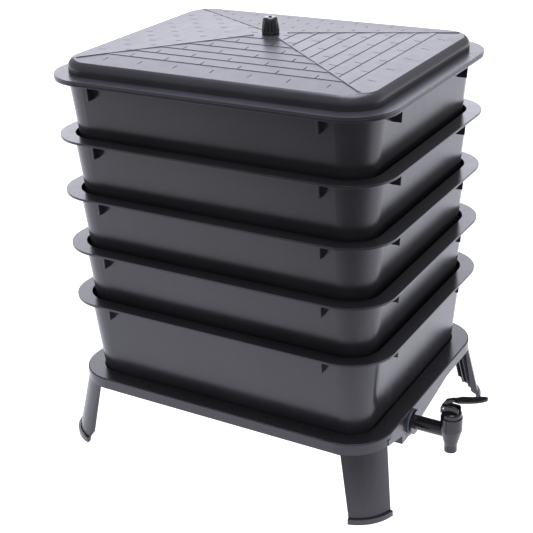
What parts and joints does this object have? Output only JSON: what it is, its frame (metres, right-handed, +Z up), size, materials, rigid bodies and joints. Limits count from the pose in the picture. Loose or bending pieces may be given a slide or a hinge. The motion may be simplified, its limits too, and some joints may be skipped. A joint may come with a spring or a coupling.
{
  "type": "wormery",
  "caption": "Stack of nesting worm-composting trays on a legged sump with a lever tap, closed by a hipped lid with a knob.",
  "frame": {"origin": "on the floor, under the middle of the stack of trays", "axes": "+Z up, +X along the long side towards the tap, +Y along the short side towards the back"},
  "size_m": [0.6728, 0.4646, 0.6741],
  "materials": {
    "tray_plastic": "satin moulded black plastic",
    "base_plastic": "satin moulded black plastic",
    "lid_plastic": "satin moulded black plastic",
    "tap_plastic": "smooth black plastic",
    "seal_rubber": "blue-grey sealing washer",
    "cup_rubber": "soft black seat cup",
    "plated_steel": "zinc-plated screw, washer and pins"
  },
  "bodies": {
    "base": {"base": "base_plastic", "tap_body": "tap_plastic", "tap_outer_seal": "seal_rubber", "tap_inner_seal": "seal_rubber", "tap_lock_nut": "tap_plastic", "tap_seat_cup": "cup_rubber", "tap_bonnet": "tap_plastic", "lever_pivot_pin": "plated_steel"},
    "tray_5": {"tray_5": "tray_plastic"},
    "tray_4": {"tray_4": "tray_plastic"},
    "tray_3": {"tray_3": "tray_plastic"},
    "tray_2": {"tray_2": "tray_plastic"},
    "tray_1": {"tray_1": "tray_plastic"},
    "lid": {"lid": "lid_plastic", "lid_knob": "lid_plastic", "knob_washer": "plated_steel", "knob_screw": "plated_steel"},
    "tap_lever": {"tap_lever": "tap_plastic"},
    "tap_stem": {"tap_stem": "tap_plastic", "stem_pin": "plated_steel"}
  },
  "joints": [
    {"name": "tray_5_lift", "type": "slide", "parent": "base", "child": "tray_5", "axis": [0, 0, 1], "range_m": [0, 0.07]},
    {"name": "tray_4_lift", "type": "slide", "parent": "tray_5", "child": "tray_4", "axis": [0, 0, 1], "range_m": [0, 0.1]},
    {"name": "tray_3_lift", "type": "slide", "parent": "tray_4", "child": "tray_3", "axis": [0, 0, 1], "range_m": [0, 0.1]},
    {"name": "tray_2_lift", "type": "slide", "parent": "tray_3", "child": "tray_2", "axis": [0, 0, 1], "range_m": [0, 0.1]},
    {"name": "tray_1_lift", "type": "slide", "parent": "tray_2", "child": "tray_1", "axis": [0, 0, 1], "range_m": [0, 0.1]},
    {"name": "lid_lift", "type": "slide", "parent": "tray_1", "child": "lid", "axis": [0, 0, 1], "range_m": [0, 0.08]},
    {"name": "lever_raise", "type": "hinge", "parent": "base", "child": "tap_lever", "pos_m": [0.321, -0.076, 0.138], "axis": [0, -1, 0], "range_deg": [0, 30], "stiffness_Nm_per_rad": 0.03, "springref_deg": -11.46},
    {"name": "stem_lift", "type": "slide", "parent": "base", "child": "tap_stem", "axis": [0, 0, 1], "range_m": [0, 0.0058], "deforming": ["tap_seat_cup"]}
  ],
  "couplings": [
    {"joint": "stem_lift", "follows": "lever_raise", "m_per_rad": 0.011}
  ]
}
